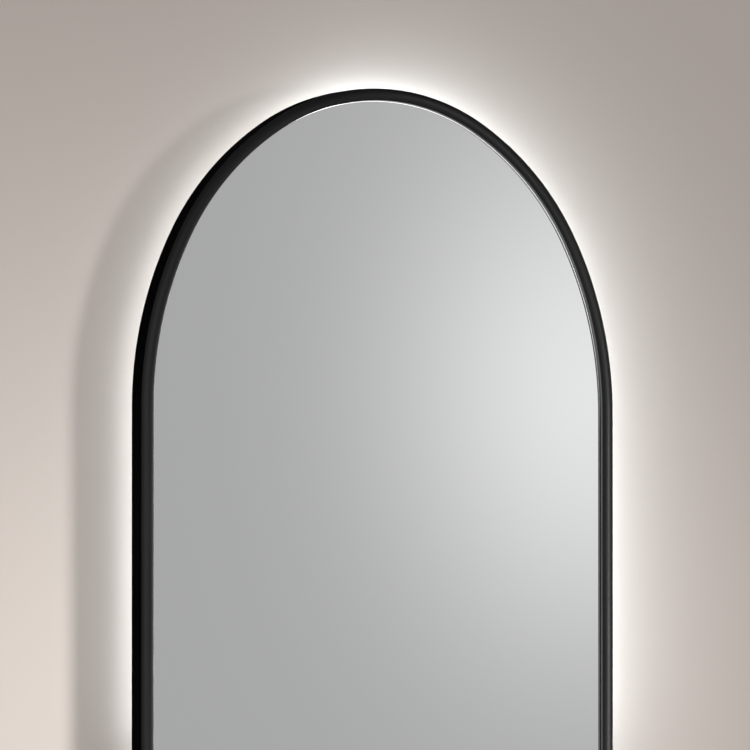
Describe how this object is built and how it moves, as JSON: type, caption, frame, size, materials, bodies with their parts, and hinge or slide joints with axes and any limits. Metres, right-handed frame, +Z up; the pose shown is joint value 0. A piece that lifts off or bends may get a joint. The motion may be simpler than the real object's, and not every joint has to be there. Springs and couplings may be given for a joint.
{
  "type": "backlit mirror",
  "caption": "Wall mirror with a straight-sided arch outline, a deep black frame and a hidden light ring that lights the wall behind it.",
  "frame": {"origin": "on the wall plane, midway between the rail's two wall screws", "axes": "+Z up, +Y into the wall, -Y towards the viewer, +X to the viewer's right"},
  "size_m": [0.5, 0.05, 0.7],
  "materials": {
    "zinc_steel": "galvanised sheet, faint spangle",
    "screw_steel": "zinc-plated",
    "frame_black": "satin black powder coat",
    "key_aluminium": "cast, plain",
    "mirror_glass": "silvered glass with a ground edge",
    "safety_film": "grey backing film",
    "foam_tape": "black foam",
    "demister_pad": "film with copper tracks",
    "carrier_aluminium": "mill finish",
    "strip_white": "white flexible circuit",
    "led_phosphor": "phosphor",
    "opal_diffuser": "opal, lit from behind",
    "bumper_rubber": "matt",
    "driver_white": "fine texture",
    "board_green": "solder mask",
    "ferrite": "sintered, dull",
    "capacitor_sleeve": "shrink sleeve",
    "box_white": "fine texture",
    "pin_steel": "bright",
    "terminal_cream": "smooth",
    "lever_orange": "smooth",
    "gland_black": "nylon",
    "seal_rubber": "matt",
    "lead_white": "smooth sheath",
    "lead_green": "green sheath",
    "clip_nylon": "nylon",
    "tag_brass": "stamped"
  },
  "bodies": {
    "rail": {"wall_rail": "zinc_steel"},
    "mirror": {"hang_bracket": "zinc_steel", "bracket_screws": "screw_steel", "frame_arch": "frame_black", "frame_bottom": "frame_black", "corner_keys": "key_aluminium", "corner_screws": "screw_steel", "mirror_glass": "mirror_glass", "safety_film": "safety_film", "glass_tape": "foam_tape", "demister_pad": "demister_pad", "backing_plate": "zinc_steel", "plate_screws": "screw_steel", "light_carrier_arch": "carrier_aluminium", "light_carrier_bottom": "carrier_aluminium", "carrier_screws": "screw_steel", "led_strip": "strip_white", "led_chips": "led_phosphor", "diffuser_arch": "opal_diffuser", "diffuser_bottom": "opal_diffuser", "wall_bumpers": "bumper_rubber", "driver_case": "driver_white", "driver_cover": "driver_white", "driver_board": "board_green", "driver_transformer": "ferrite", "driver_capacitors": "capacitor_sleeve", "driver_screws": "screw_steel", "junction_box": "box_white", "lid_pin": "pin_steel", "box_screws": "screw_steel", "terminal_block": "terminal_cream", "lever_pin": "pin_steel", "gland_body": "gland_black", "gland_locknut": "gland_black", "gland_seal": "seal_rubber", "gland_cap": "gland_black", "mains_lead": "lead_white", "led_lead": "lead_white", "demister_lead": "lead_white", "earth_lead": "lead_green", "lead_clips": "clip_nylon", "plate_grommet": "seal_rubber", "earth_stud": "pin_steel", "earth_nut": "pin_steel", "earth_tag": "tag_brass"},
    "lid": {"junction_lid": "box_white"},
    "live_lever": {"lever_live": "lever_orange"},
    "neutral_lever": {"lever_neutral": "lever_orange"},
    "earth_lever": {"lever_earth": "lever_orange"}
  },
  "joints": [
    {"name": "mirror_lift", "type": "slide", "parent": "rail", "child": "mirror", "axis": [0, 0, 1], "range_m": [0, 0.012]},
    {"name": "lid_hinge", "type": "hinge", "parent": "mirror", "child": "lid", "pos_m": [-0.1348, -0.011, -0.19], "axis": [0, 0, 1], "range_deg": [0, 110]},
    {"name": "live_lever_hinge", "type": "hinge", "parent": "mirror", "child": "live_lever", "pos_m": [-0.0998, -0.0257, -0.1966], "axis": [0, 0, 1], "range_deg": [0, 85]},
    {"name": "neutral_lever_hinge", "type": "hinge", "parent": "mirror", "child": "neutral_lever", "pos_m": [-0.0998, -0.0257, -0.19], "axis": [0, 0, 1], "range_deg": [0, 85]},
    {"name": "earth_lever_hinge", "type": "hinge", "parent": "mirror", "child": "earth_lever", "pos_m": [-0.0998, -0.0257, -0.1834], "axis": [0, 0, 1], "range_deg": [0, 85]}
  ]
}
